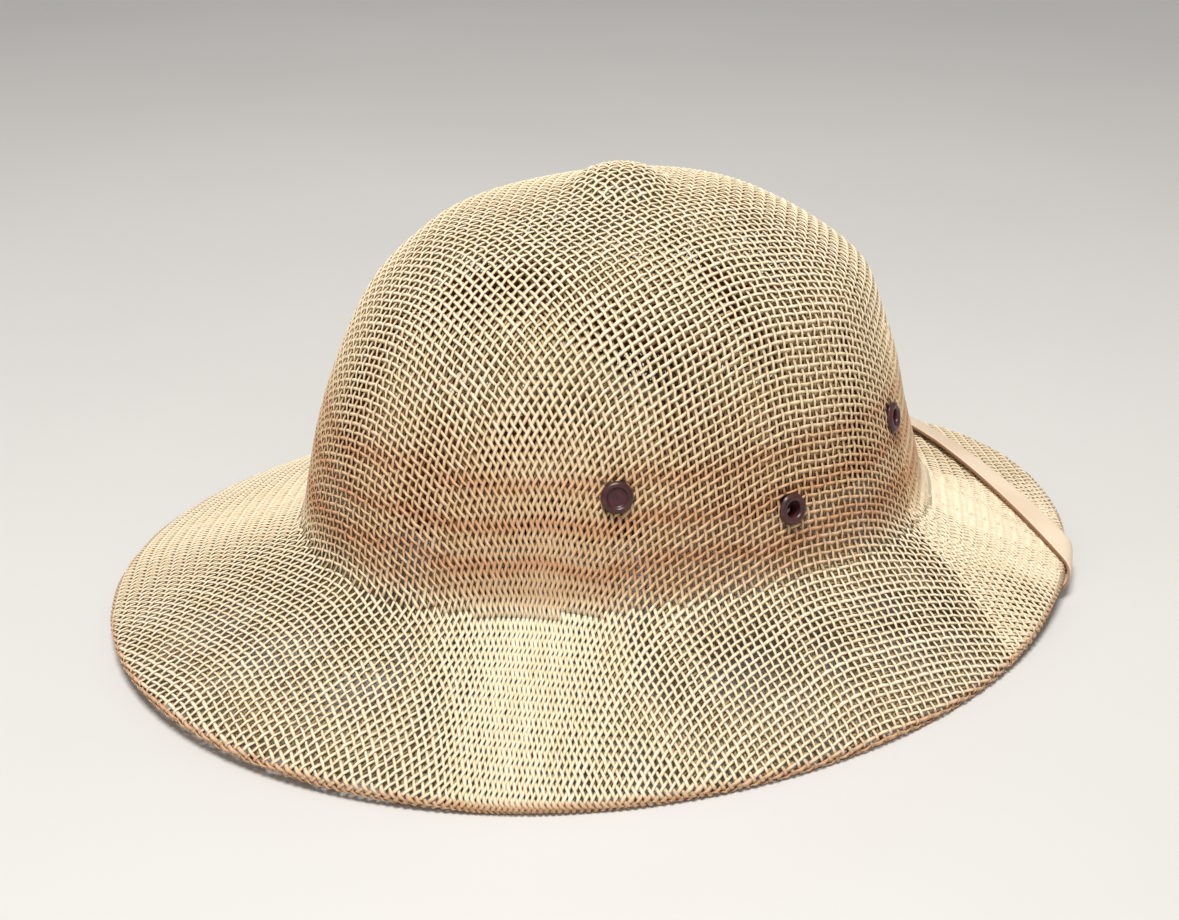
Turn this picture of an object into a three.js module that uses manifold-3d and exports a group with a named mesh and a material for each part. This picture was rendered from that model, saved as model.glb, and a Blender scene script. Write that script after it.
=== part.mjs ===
// Pith helmet of woven paper straw: pressed mesh shell, headband, rivets, vent eyelets and chin strap.
// Millimetres, +Z up. The front points along -Y, and the rim rests on the plane z = 0.
import * as THREE from "three";
import { mergeVertices } from "three/addons/utils/BufferGeometryUtils.js";
import Module from "manifold-3d";

const wasm = await Module();
wasm.setup();

// Brim and crown sizes
const RIM_LENGTH = 335;
const RIM_WIDTH = 274.5;
const RIM_EGG = 3.5; // the front half of the rim is this much rounder than an ellipse, the back half slimmer
const CROWN_LENGTH = 214.5;
const CROWN_WIDTH = 172.5;
const CROWN_FORWARD = 7; // the crown sits this far ahead of the rim's centre
const CROWN_TOP = 139.7; // height of the crown's top, without the knob
const CREASE_HEIGHT = 29; // where crown and brim meet, at the front and back
const CREASE_SIDE_RISE = 4.7; // the crease lies higher at the sides
const FRONT_LIFT = 9.5; // the brim's front edge stands clear of the ground
const BACK_LIFT = 4;
const WALL = 2.6; // two layers of mesh
const ROLL_RADIUS = 2.2; // rolled edge of the brim
const KNOB_WIDTH = 36;
const KNOB_HEIGHT = 4.2;
const KNOB_SQUARENESS = 3; // a higher exponent flattens its top and steepens its shoulders
const CROWN_SQUARENESS = 2.11; // exponent of the crown's superelliptic plan, 2 is an ellipse

// Headband sizes
const BAND_HEIGHT = 39;
const BAND_FOOT = 20; // above the crease
const BAND_WALL = 1.6;
const BAND_AIR = 6; // extra room between band and crown, at the front and back

// Fastener sizes
const FLANGE_WIDTH = 10.6;
const FLANGE_THICKNESS = 1.3;
const INNER_FLANGE_THICKNESS = 0.9;
const RIVET_SHANK = 4.6;
const RIVET_RING_WIDTH = 6.4;
const RIVET_DIMPLE = 0.7;
const EYELET_BARREL = 6.6;
const EYELET_BORE = 4.8;
const RIVET_ANGLE = 115; // degrees round the crown from the front
const RIVET_HEIGHT = 67.8;
const FRONT_EYELET_ANGLE = 38.2;
const FRONT_EYELET_HEIGHT = 67.1;
const SIDE_EYELET_ANGLE = 75.8;
const SIDE_EYELET_HEIGHT = 55.3;

// Chin strap sizes
const STRAP_WIDTH = 12;
const STRAP_WALL = 1.2;
const STRAP_FORWARD = 138; // where the strap crosses the brim, ahead of the rim's centre
const STRAP_BOW = 5; // it lies this much further forward where it reaches the rim
const STRAP_REACH = 70; // from the middle to there
const STRAP_EDGE_LIFT = 1; // the strap's rear edge stands off the brim
const STRAP_WRAP = 166; // degrees that it turns round the rolled edge
const STRAP_RISE = 0.24; // for each mm that it goes back just beneath the brim
const STRAP_FLARE_X = 0.955; // where the strap passes under the flare, as shares of the crown's half plan
const STRAP_FLARE_Y = 0.42;

const CLEARANCE = 0.3; // between neighbouring pieces
const CURVE_ROOM = 0.4; // extra between flat and curved faces, for the crown's curvature

// Rows of the shell's outer face from the top down, as shares. front and back: of the crown's half length.
// rise: of the height above the crease. out and drop: of the way from the crease to the rim.
const SECTION = [
  { front: 0, back: 0, rise: 1, out: 0, drop: 0 },
  { front: 0.201, back: 0.195, rise: 0.985, out: 0, drop: 0 },
  { front: 0.366, back: 0.339, rise: 0.955, out: 0, drop: 0 },
  { front: 0.498, back: 0.551, rise: 0.9, out: 0, drop: 0 },
  { front: 0.637, back: 0.671, rise: 0.82, out: 0, drop: 0 },
  { front: 0.763, back: 0.774, rise: 0.72, out: 0, drop: 0 },
  { front: 0.818, back: 0.846, rise: 0.6, out: 0, drop: 0 },
  { front: 0.873, back: 0.911, rise: 0.45, out: 0, drop: 0 },
  { front: 0.909, back: 0.961, rise: 0.3, out: 0, drop: 0 },
  { front: 0.954, back: 0.995, rise: 0.15, out: 0, drop: 0 },
  { front: 0.983, back: 1.014, rise: 0.055, out: 0, drop: 0 },
  { front: 1, back: 1, rise: 0.008, out: 0.05, drop: 0 },
  { front: 1, back: 1, rise: 0, out: 0.14, drop: 0.11 },
  { front: 1, back: 1, rise: 0, out: 0.3, drop: 0.28 },
  { front: 1, back: 1, rise: 0, out: 0.5, drop: 0.49 },
  { front: 1, back: 1, rise: 0, out: 0.7, drop: 0.69 },
  { front: 1, back: 1, rise: 0, out: 0.86, drop: 0.855 },
  { front: 1, back: 1, rise: 0, out: 1, drop: 1 },
];
const BRIM_END = SECTION.length - 1;

// Angles round the rolled edge, in degrees from straight out. The two lowest ones bound a level facet.
const ROLL_START = 66;
const ROLL_FOOT = 70;
const ROLL_ANGLES = [33, 0, -35, -ROLL_FOOT, ROLL_FOOT - 180, -145];

// The strap's rows: shares of the way across the brim, then stations for the way back under the brim to the
// flare, and for the climb inside the crown. back: of the way to the flare. round: of the angle from the
// flare to the rivet. climb: of the rivet's height above the crease. slack: how far the taut strap hangs off
// the shell there, in strap thicknesses.
const STRAP_TOP_SHARES = [0, 0.16, 0.32, 0.48, 0.64, 0.8, 0.92, 1];
const STRAP_UNDER = [
  { back: 0.2, slack: 1.8 },
  { back: 0.45, slack: 1.3 },
  { back: 0.75, slack: 1.3 },
];
const STRAP_CLIMB = [
  { round: 0.1, climb: 0.08, slack: 1.5 },
  { round: 0.28, climb: 0.25, slack: 0.7 },
  { round: 0.46, climb: 0.44, slack: 0.1 },
  { round: 0.64, climb: 0.63, slack: 0 },
  { round: 0.82, climb: 0.82, slack: 0 },
  { round: 1, climb: 1, slack: 0 },
  { round: 1.1, climb: 1.1, slack: 0 },
];
const STRAP_STEPS = 2;
const STRAP_FIBRES = [-0.5, -0.25, 0, 0.25, 0.5]; // shares of its width, from the front edge to the rear one
const STRAP_FOLD_ROWS = 16;
const FIBRE_STEPS = 40;

// Where the rings of facets lie along the section's rows, closer together where it bends more
const CROWN_STEPS = [0.25, 0.5, 0.75, 1, 1.5, 2, 2.5, 3, 3.5, 4, 4.5, 5, 6, 7, 8, 9];
const BRIM_STEPS = [9.7, 10.3, 10.8, 11.3, 12, 13.5, 15.5];
const INNER_STEPS = [0.4, 1, 2, 3, 4, 5, 6, 7.5, 9, 10, 10.6, 11.2, 12, 13.5, 16.3];
const BAND_STEPS = [0, 0.35, 0.7, 1]; // of the headband's height

const WALL_ROWS = [4, 11]; // rows between which the crown's wall lies
const BRIM_ROWS = [10, BRIM_END];
const HALVINGS = 40; // of a span, in a search
const SMALL_STEP = 0.01; // in radians or rows, for a slope
const COLUMNS = 64;
const FASTENER_SIDES = 16;
const DRILL_LENGTH = 30;
const MERGE_GAP = 1e-4; // corners closer than this are one
// The rim lies level at the sides and rises from these cosines of the angle towards the front and back.
const FRONT_LIFT_START = 0.55;
const BACK_LIFT_START = 0.5;
const LIFT_CURVE = 1.5;

const rad = THREE.MathUtils.degToRad;

// Catmull-Rom through the rows, mirrored at the top so that the crown is smooth there.
function sectionAt(t) {
  const k = Math.min(Math.floor(t), BRIM_END - 1);
  const f = t - k;
  const row = (i, name) => {
    if (i < 0) return (name === "rise" ? 1 : -1) * SECTION[-i][name];
    if (i > BRIM_END) return 2 * SECTION[BRIM_END][name] - SECTION[BRIM_END - 1][name];
    return SECTION[i][name];
  };
  const result = {};
  for (const name of ["front", "back", "rise", "out", "drop"]) {
    const [a, b, c, d] = [row(k - 1, name), row(k, name), row(k + 1, name), row(k + 2, name)];
    const linear = c - a;
    const square = 2 * a - 5 * b + 4 * c - d;
    const cube = 3 * b - 3 * c + d - a;
    result[name] = b + 0.5 * f * (linear + f * (square + f * cube));
  }
  return result;
}

function ovalRadius(angle, halfLength, halfWidth, power) {
  const along = Math.abs(Math.cos(angle) / halfLength) ** power;
  const across = Math.abs(Math.sin(angle) / halfWidth) ** power;
  return (along + across) ** (-1 / power);
}

function rimRadius(angle) {
  return ovalRadius(angle, RIM_LENGTH / 2, RIM_WIDTH / 2, 2) + (RIM_EGG / 2) * Math.cos(3 * angle);
}

// The middle that the angles are counted round, from the crown's at 0 to the rim's at 1
const middleY = (out) => (RIM_EGG / 2) * out - CROWN_FORWARD * (1 - out);

function rimLift(angle) {
  const ahead = Math.max(0, (Math.cos(angle) - FRONT_LIFT_START) / (1 - FRONT_LIFT_START));
  const behind = Math.max(0, (-Math.cos(angle) - BACK_LIFT_START) / (1 - BACK_LIFT_START));
  return FRONT_LIFT * ahead ** LIFT_CURVE + BACK_LIFT * behind ** LIFT_CURVE;
}

const creaseHeight = (angle) => CREASE_HEIGHT + CREASE_SIDE_RISE * Math.sin(angle) ** 2;

const rollCentreUp = ROLL_RADIUS * Math.sin(rad(ROLL_FOOT));

// A point on the outer face: angle from the front in radians, t along the section's rows.
function outerPoint(angle, t) {
  const s = sectionAt(t);
  const c = Math.cos(angle);
  const ahead = (1 + c) / 2;
  const share = s.front * ahead + s.back * (1 - ahead);
  const power = 2 + (CROWN_SQUARENESS - 2) * (1 - s.rise);
  const crown = ovalRadius(angle, CROWN_LENGTH / 2, CROWN_WIDTH / 2, power) * share;
  const rimOut = rimRadius(angle) - ROLL_RADIUS * (1 - Math.cos(rad(ROLL_START)));
  const rimUp = rimLift(angle) + rollCentreUp + ROLL_RADIUS * Math.sin(rad(ROLL_START));
  const radius = crown + (rimOut - crown) * s.out;
  const crease = creaseHeight(angle);
  const level = crease + (CROWN_TOP - crease) * s.rise + (rimUp - crease) * s.drop;
  const x = radius * Math.sin(angle);
  const y = middleY(s.out) - radius * c;
  const q = Math.min(1, radius / (KNOB_WIDTH / 2));
  const knob = s.out > 0 ? 0 : KNOB_HEIGHT * (1 - q ** KNOB_SQUARENESS) ** 2;
  return new THREE.Vector3(x, y, level + knob);
}

function outerNormal(angle, t) {
  const [above, below] = [Math.max(t - SMALL_STEP, 0), Math.min(t + SMALL_STEP, BRIM_END)];
  const down = outerPoint(angle, below).sub(outerPoint(angle, above));
  const round = outerPoint(angle + SMALL_STEP, t).sub(outerPoint(angle - SMALL_STEP, t));
  return down.cross(round).normalize();
}

function insetPoint(angle, t, depth) {
  if (t === 0) return outerPoint(angle, 0).add(new THREE.Vector3(0, 0, -depth));
  return outerPoint(angle, t).addScaledVector(outerNormal(angle, t), -depth);
}

function rollPoint(angle, degrees, radius = ROLL_RADIUS) {
  const out = rimRadius(angle) - ROLL_RADIUS + radius * Math.cos(rad(degrees));
  const up = rimLift(angle) + rollCentreUp + radius * Math.sin(rad(degrees));
  return new THREE.Vector3(out * Math.sin(angle), middleY(1) - out * Math.cos(angle), up);
}

// Row position on the section at a height on the crown's wall.
function rowAtHeight(angle, height) {
  let [low, high] = WALL_ROWS;
  for (let i = 0; i < HALVINGS; i++) {
    const middle = (low + high) / 2;
    if (outerPoint(angle, middle).z > height) low = middle;
    else high = middle;
  }
  return (low + high) / 2;
}

// Row position on the brim at a place in plan, with its angle.
function brimAt(x, y) {
  let [low, high] = BRIM_ROWS;
  let [angle, middle] = [0, 0];
  for (let i = 0; i < HALVINGS; i++) {
    middle = (low + high) / 2;
    const centre = middleY(sectionAt(middle).out);
    angle = Math.atan2(x, centre - y);
    const p = outerPoint(angle, middle);
    if (Math.hypot(p.x, p.y - centre) < Math.hypot(x, y - centre)) low = middle;
    else high = middle;
  }
  return { angle, t: middle };
}

// A closed body from rings of points. Each end is a pole or, for a tube, both ends join each other.
function ringBody(rings, { loop = false, endCap = false } = {}) {
  const points = [];
  const faces = [];
  const starts = rings.map((ring) => {
    const start = points.length;
    points.push(...ring);
    return start;
  });
  const join = (a, na, b, nb) => {
    const n = Math.max(na, nb);
    for (let i = 0; i < n; i++) {
      const j = (i + 1) % n;
      if (na > 1) faces.push([a + i, a + j, b + (nb > 1 ? j : 0)]);
      if (nb > 1) faces.push([a + (na > 1 ? i : 0), b + j, b + i]);
    }
  };
  for (let r = 0; r + 1 < rings.length; r++) {
    join(starts[r], rings[r].length, starts[r + 1], rings[r + 1].length);
  }
  if (loop) {
    const last = rings.length - 1;
    join(starts[last], rings[last].length, starts[0], rings[0].length);
  }
  if (endCap) {
    const n = rings[0].length;
    const last = starts[rings.length - 1];
    for (let i = 1; i + 1 < n; i++) {
      faces.push([0, i + 1, i]);
      faces.push([last, last + i, last + i + 1]);
    }
  }
  return outwardGeometry(points, faces);
}

function outwardGeometry(points, faces) {
  let volume = 0;
  for (const [a, b, c] of faces) {
    volume += points[a].dot(new THREE.Vector3().crossVectors(points[b], points[c]));
  }
  const order = volume < 0 ? faces.map((f) => [f[0], f[2], f[1]]) : faces;
  const geometry = new THREE.BufferGeometry();
  const flat = points.flatMap((p) => [p.x, p.y, p.z]);
  geometry.setAttribute("position", new THREE.Float32BufferAttribute(flat, 3));
  geometry.setIndex(order.flat());
  return geometry;
}

function solidOf(geometry) {
  const bare = geometry.clone();
  bare.deleteAttribute("normal");
  bare.deleteAttribute("uv");
  const merged = mergeVertices(bare, MERGE_GAP);
  return new wasm.Manifold(
    new wasm.Mesh({
      numProp: 3,
      vertProperties: new Float32Array(merged.attributes.position.array),
      triVerts: new Uint32Array(merged.index.array),
    }),
  );
}

function geometryOf(solid) {
  const mesh = solid.getMesh();
  const geometry = new THREE.BufferGeometry();
  geometry.setAttribute("position", new THREE.BufferAttribute(new Float32Array(mesh.vertProperties), 3));
  geometry.setIndex(new THREE.BufferAttribute(new Uint32Array(mesh.triVerts), 1));
  geometry.computeVertexNormals();
  return geometry;
}

// Where a fastener sits: on the outer face, with its axis along the wall's normal. side is 1 or -1 in x.
function seatOf(degrees, height, side) {
  const angle = side * rad(degrees);
  const t = rowAtHeight(angle, height);
  return { angle, t, position: outerPoint(angle, t), axis: outerNormal(angle, t) };
}

function turnedTo(geometry, seat) {
  const turn = new THREE.Quaternion().setFromUnitVectors(new THREE.Vector3(0, 1, 0), seat.axis);
  const moved = geometry.clone();
  moved.applyQuaternion(turn);
  moved.translate(seat.position.x, seat.position.y, seat.position.z);
  return moved;
}

const seats = [];
for (const [side, word] of [[-1, "right"], [1, "left"]]) {
  seats.push({ kind: "rivet", name: `rivet_${word}`, side, ...seatOf(RIVET_ANGLE, RIVET_HEIGHT, side) });
  seats.push({
    kind: "eyelet",
    name: `vent_eyelet_front_${word}`,
    side,
    ...seatOf(FRONT_EYELET_ANGLE, FRONT_EYELET_HEIGHT, side),
  });
  seats.push({
    kind: "eyelet",
    name: `vent_eyelet_side_${word}`,
    side,
    ...seatOf(SIDE_EYELET_ANGLE, SIDE_EYELET_HEIGHT, side),
  });
}

// Depths below the outer face at a rivet: shell, strap end, headband, inner flange
const STRAP_DEPTH = WALL + CLEARANCE + CURVE_ROOM;
const BAND_DEPTH = STRAP_DEPTH + STRAP_WALL + CLEARANCE + CURVE_ROOM / 2;
const RIVET_INNER_DEPTH = BAND_DEPTH + BAND_WALL + CLEARANCE + CURVE_ROOM;
const EYELET_INNER_DEPTH = WALL + CLEARANCE + CURVE_ROOM;

const angles = Array.from({ length: COLUMNS }, (_, i) => (2 * Math.PI * i) / COLUMNS);

// The solid cut out of a piece where a fastener's shank or barrel of this diameter goes through
function drillAt(seat, diameter) {
  const radius = diameter / 2 + CLEARANCE;
  return solidOf(turnedTo(new THREE.CylinderGeometry(radius, radius, DRILL_LENGTH, FASTENER_SIDES), seat));
}

function meshShell() {
  const rings = [[outerPoint(0, 0)]];
  for (const t of [...CROWN_STEPS, ...BRIM_STEPS]) rings.push(angles.map((a) => outerPoint(a, t)));
  rings.push(angles.map((a) => outerPoint(a, BRIM_END)));
  for (const turn of ROLL_ANGLES) rings.push(angles.map((a) => rollPoint(a, turn)));
  for (const t of [...INNER_STEPS].reverse()) rings.push(angles.map((a) => insetPoint(a, t, WALL)));
  rings.push([insetPoint(0, 0, WALL)]);
  let shell = solidOf(ringBody(rings));
  for (const seat of seats) {
    shell = shell.subtract(drillAt(seat, seat.kind === "rivet" ? RIVET_SHANK : EYELET_BARREL));
  }
  return geometryOf(shell);
}

// Depth of the headband's outer face: close to the wall at the rivets, further in at the front and back.
function bandDepth(angle) {
  const degrees = Math.abs(THREE.MathUtils.radToDeg(Math.atan2(Math.sin(angle), Math.cos(angle))));
  const ahead = degrees < RIVET_ANGLE;
  const share = ahead ? (RIVET_ANGLE - degrees) / RIVET_ANGLE : (degrees - RIVET_ANGLE) / (180 - RIVET_ANGLE);
  return BAND_DEPTH + BAND_AIR * Math.sin((share * Math.PI) / 2) ** 2;
}

function headband() {
  const level = (a, share) => creaseHeight(a) + BAND_FOOT + BAND_HEIGHT * share;
  const face = (share, extra) =>
    angles.map((a) => insetPoint(a, rowAtHeight(a, level(a, share)), bandDepth(a) + extra));
  const rings = BAND_STEPS.map((share) => face(share, 0));
  rings.push(...[...BAND_STEPS].reverse().map((share) => face(share, BAND_WALL)));
  let band = solidOf(ringBody(rings, { loop: true }));
  for (const seat of seats.filter((s) => s.kind === "rivet")) {
    band = band.subtract(drillAt(seat, RIVET_SHANK));
  }
  return geometryOf(band);
}

// A closed rivet: dished head with a ring, shank through shell, strap and headband, inner flange. Each row of
// the profile is a radius and a height, from the middle of the inner flange round to the middle of the head.
function rivet() {
  const head = FLANGE_WIDTH / 2;
  const ring = RIVET_RING_WIDTH / 2;
  const shank = RIVET_SHANK / 2;
  const top = CLEARANCE + FLANGE_THICKNESS;
  const profile = [
    [0, -RIVET_INNER_DEPTH - INNER_FLANGE_THICKNESS],
    [head * 0.8, -RIVET_INNER_DEPTH - INNER_FLANGE_THICKNESS],
    [head * 0.85, -RIVET_INNER_DEPTH],
    [shank, -RIVET_INNER_DEPTH],
    [shank, CLEARANCE],
    [head, CLEARANCE],
    [head, CLEARANCE + FLANGE_THICKNESS * 0.45],
    [head * 0.88, top],
    [ring, top],
    [ring * 0.82, top - RIVET_DIMPLE],
    [0, top - RIVET_DIMPLE * 0.8],
  ];
  return new THREE.LatheGeometry(profile.map(([r, y]) => new THREE.Vector2(r, y)), FASTENER_SIDES);
}

// An open eyelet: rolled flange outside, barrel through the shell, rolled-over flange inside. The rows go
// round the profile from the bore's inner end.
function eyelet() {
  const head = FLANGE_WIDTH / 2;
  const barrel = EYELET_BARREL / 2;
  const bore = EYELET_BORE / 2;
  const top = CLEARANCE + FLANGE_THICKNESS;
  const foot = -EYELET_INNER_DEPTH;
  const profile = [
    [bore, foot],
    [bore * 1.08, foot - INNER_FLANGE_THICKNESS],
    [head * 0.82, foot - INNER_FLANGE_THICKNESS * 0.8],
    [head * 0.86, foot],
    [barrel, foot],
    [barrel, CLEARANCE],
    [head, CLEARANCE],
    [head, CLEARANCE + FLANGE_THICKNESS * 0.4],
    [head * 0.84, top],
    [bore * 1.3, top],
    [bore, top - FLANGE_THICKNESS * 0.6],
    [bore, foot],
  ];
  return new THREE.LatheGeometry(profile.map(([r, y]) => new THREE.Vector2(r, y)), FASTENER_SIDES);
}

const STRAP_GAP = CLEARANCE + CURVE_ROOM + STRAP_WALL / 2; // from a face of the shell to the strap's middle
const WRAP_RADIUS = ROLL_RADIUS + STRAP_GAP;

// Where a fibre of the strap, at an offset behind its middle line, meets the rim on the left side
function fibreStart(offset) {
  const lineY = (x) => offset - STRAP_FORWARD - STRAP_BOW * (x / STRAP_REACH) ** 2;
  const rimAngle = (x) => Math.atan2(x, middleY(1) - lineY(x));
  let [low, high] = [0, RIM_WIDTH / 2];
  for (let i = 0; i < HALVINGS; i++) {
    const x = (low + high) / 2;
    if (x < rollPoint(rimAngle(x), ROLL_START).x) low = x;
    else high = x;
  }
  const rimX = (low + high) / 2;
  return { lineY, rimX, angle: rimAngle(rimX) };
}

// How the strap folds over the rim: its direction before and after, mirrored about the edge, and how far it
// moves round the rim for each radian that it turns round the rolled edge.
function strapFold() {
  const { rimX, angle } = fibreStart(0);
  const edge = rollPoint(angle + SMALL_STEP, 0).sub(rollPoint(angle - SMALL_STEP, 0));
  const speed = edge.length() / (2 * SMALL_STEP);
  edge.normalize();
  const heading = new THREE.Vector3(1, (-2 * STRAP_BOW * rimX) / STRAP_REACH ** 2, 0).normalize();
  const cosine = heading.dot(edge);
  const advance = (cosine / Math.sqrt(1 - cosine ** 2)) * (WRAP_RADIUS / speed);
  const beneath = edge.multiplyScalar(2 * cosine).sub(heading).setZ(STRAP_RISE).normalize();
  return { advance, beneath };
}

// One fibre: over the brim, wound round the rolled edge, then straight on beneath. at gives the point at a
// distance from the middle of the brim's front, reach and end where the winding starts and ends.
function strapFibre(offset, { advance, beneath }) {
  const { lineY, rimX, angle: start } = fibreStart(offset);
  const points = [];
  for (let i = 0; i < FIBRE_STEPS; i++) {
    const x = (rimX * i) / FIBRE_STEPS;
    const { angle, t } = brimAt(x, lineY(x));
    const lift = STRAP_EDGE_LIFT * (1 - x / rimX) * (0.5 + offset / STRAP_WIDTH);
    points.push(outerPoint(angle, t).addScaledVector(outerNormal(angle, t), STRAP_GAP + lift));
  }
  for (let i = 0; i <= FIBRE_STEPS; i++) {
    const turn = (STRAP_WRAP * i) / FIBRE_STEPS;
    points.push(rollPoint(start + advance * rad(turn), ROLL_START - turn, WRAP_RADIUS));
  }
  const lengths = [0];
  for (let i = 1; i < points.length; i++) lengths.push(lengths[i - 1] + points[i].distanceTo(points[i - 1]));
  const last = points.length - 1;
  const end = lengths[last];
  const at = (distance) => {
    if (distance >= end) return points[last].clone().addScaledVector(beneath, distance - end);
    const i = lengths.findIndex((length) => length > distance);
    const share = (distance - lengths[i - 1]) / (lengths[i] - lengths[i - 1]);
    return points[i - 1].clone().lerp(points[i], share);
  };
  return { at, reach: lengths[FIBRE_STEPS], end };
}

// The strap's stations on the left side after the fold, back to the flare and up to the end past the rivet.
// Each has a middle point and the direction in which its outer face looks, away from the shell.
function strapStations(from) {
  const flareX = STRAP_FLARE_X * (CROWN_WIDTH / 2);
  const flareY = -CROWN_FORWARD - STRAP_FLARE_Y * (CROWN_LENGTH / 2);
  const station = (angle, t, slack) => ({
    point: insetPoint(angle, t, WALL + STRAP_GAP + slack * STRAP_WALL),
    face: outerNormal(angle, t).negate(),
  });
  const stations = STRAP_UNDER.map(({ back, slack }) => {
    const { angle, t } = brimAt(from.x + (flareX - from.x) * back, from.y + (flareY - from.y) * back);
    return station(angle, t, slack);
  });
  const start = Math.atan2(flareX, -flareY - CROWN_FORWARD);
  for (const { round, climb, slack } of STRAP_CLIMB) {
    const angle = start + (rad(RIVET_ANGLE) - start) * round;
    const foot = creaseHeight(angle);
    stations.push(station(angle, rowAtHeight(angle, foot + (RIVET_HEIGHT - foot) * climb), slack));
  }
  return stations;
}

// Points of the strap's middle surface on the left side: rows from the front of the brim to the strap's end,
// each with one point a fibre.
function strapRows() {
  const offsets = STRAP_FIBRES.map((share) => share * STRAP_WIDTH);
  const fold = strapFold();
  const fibres = offsets.map((offset) => strapFibre(offset, fold));
  const [first, last] = [fibres[0].reach, fibres[fibres.length - 1].end];
  const distances = STRAP_TOP_SHARES.map((share) => share * first);
  for (let i = 1; i <= STRAP_FOLD_ROWS; i++) distances.push(first + ((last - first) * i) / STRAP_FOLD_ROWS);
  const rows = distances.map((distance) => fibres.map((fibre) => fibre.at(distance)));
  const end = rows[rows.length - 1];
  const point = end[(offsets.length - 1) / 2];
  const across = end[offsets.length - 1].clone().sub(end[0]);
  const face = fold.beneath.clone().cross(across).normalize();
  const stations = [{ point, face }, ...strapStations(point)];
  const path = new THREE.CatmullRomCurve3(stations.map((s) => s.point), false, "centripetal");
  const looks = new THREE.CatmullRomCurve3(stations.map((s) => s.face), false, "catmullrom");
  const count = (stations.length - 1) * STRAP_STEPS;
  for (let i = 1; i <= count; i++) {
    const sideways = looks.getPoint(i / count).cross(path.getTangent(i / count)).normalize();
    rows.push(offsets.map((offset) => path.getPoint(i / count).addScaledVector(sideways, offset)));
  }
  return rows;
}

// A flat strap through the rows and their mirror image, with a hole at each rivet.
function chinStrap() {
  const half = strapRows();
  const mirrored = half.slice(1).map((row) => row.map((p) => new THREE.Vector3(-p.x, p.y, p.z)));
  const rows = [...mirrored.reverse(), ...half];
  const rings = rows.map((row, r) => {
    const before = rows[Math.max(r - 1, 0)];
    const after = rows[Math.min(r + 1, rows.length - 1)];
    const faces = row.map((_, k) => {
      const across = row[Math.min(k + 1, row.length - 1)].clone().sub(row[Math.max(k - 1, 0)]);
      const normal = after[k].clone().sub(before[k]).cross(across);
      return normal.setLength(STRAP_WALL / 2);
    });
    const upper = row.map((point, k) => point.clone().add(faces[k]));
    const lower = row.map((point, k) => point.clone().sub(faces[k]));
    return [...upper, ...lower.reverse()];
  });
  let strap = solidOf(ringBody(rings, { endCap: true }));
  for (const seat of seats.filter((s) => s.kind === "rivet")) {
    strap = strap.subtract(drillAt(seat, RIVET_SHANK));
  }
  return geometryOf(strap);
}

const shellMaterial = new THREE.MeshStandardMaterial({ color: 0xd9c79e, roughness: 0.85, metalness: 0 });
const bandMaterial = new THREE.MeshStandardMaterial({ color: 0x6b3f2e, roughness: 0.6, metalness: 0 });
const strapMaterial = new THREE.MeshStandardMaterial({ color: 0xd8bfa5, roughness: 0.55, metalness: 0 });
const fastenerMaterial = new THREE.MeshStandardMaterial({ color: 0x4a2a28, roughness: 0.4, metalness: 0 });

const helmet = new THREE.Group();

function addPiece(name, geometry, material) {
  const mesh = new THREE.Mesh(geometry, material.clone());
  mesh.name = name;
  helmet.add(mesh);
  return mesh;
}

addPiece("mesh_shell", meshShell(), shellMaterial);
addPiece("headband", headband(), bandMaterial);
addPiece("chin_strap", chinStrap(), strapMaterial);
for (const seat of seats) {
  const piece = addPiece(seat.name, seat.kind === "rivet" ? rivet() : eyelet(), fastenerMaterial);
  piece.position.copy(seat.position);
  piece.quaternion.setFromUnitVectors(new THREE.Vector3(0, 1, 0), seat.axis);
}

export default helmet;
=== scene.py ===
import bpy
import numpy as np
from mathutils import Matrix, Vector


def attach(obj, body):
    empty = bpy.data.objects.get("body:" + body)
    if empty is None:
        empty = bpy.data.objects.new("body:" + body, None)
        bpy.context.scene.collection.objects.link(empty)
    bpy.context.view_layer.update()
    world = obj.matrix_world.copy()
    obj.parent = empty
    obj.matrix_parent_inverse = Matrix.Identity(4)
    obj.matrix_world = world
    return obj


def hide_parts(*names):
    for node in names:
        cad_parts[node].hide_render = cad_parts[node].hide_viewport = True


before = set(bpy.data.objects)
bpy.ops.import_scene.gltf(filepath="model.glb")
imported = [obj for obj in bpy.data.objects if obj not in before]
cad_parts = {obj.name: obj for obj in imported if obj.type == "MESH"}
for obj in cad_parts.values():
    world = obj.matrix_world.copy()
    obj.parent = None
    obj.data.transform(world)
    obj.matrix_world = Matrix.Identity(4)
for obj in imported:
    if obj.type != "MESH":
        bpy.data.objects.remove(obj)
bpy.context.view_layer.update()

MM = 0.001
rng = np.random.default_rng(7)

# Brim and crown, the same sizes as in the part's source, except that the knob is larger and lies further back
RIM_LENGTH = 335
RIM_WIDTH = 274.5
RIM_EGG = 3.5
CROWN_LENGTH = 214.5
CROWN_WIDTH = 172.5
CROWN_FORWARD = 7
CROWN_TOP = 139.7
CREASE_HEIGHT = 29
CREASE_SIDE_RISE = 4.7
FRONT_LIFT = 9.5
BACK_LIFT = 4
FRONT_LIFT_START = 0.55
BACK_LIFT_START = 0.5
LIFT_CURVE = 1.5
WALL = 2.6
ROLL_RADIUS = 2.2
ROLL_START = 66
ROLL_FOOT = 70
KNOB_WIDTH = 39
KNOB_HEIGHT = 4.9
KNOB_SQUARENESS = 3
KNOB_BACK = 2  # the knob's middle lies this much behind the crown's
CROWN_SQUARENESS = 2.11

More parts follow.
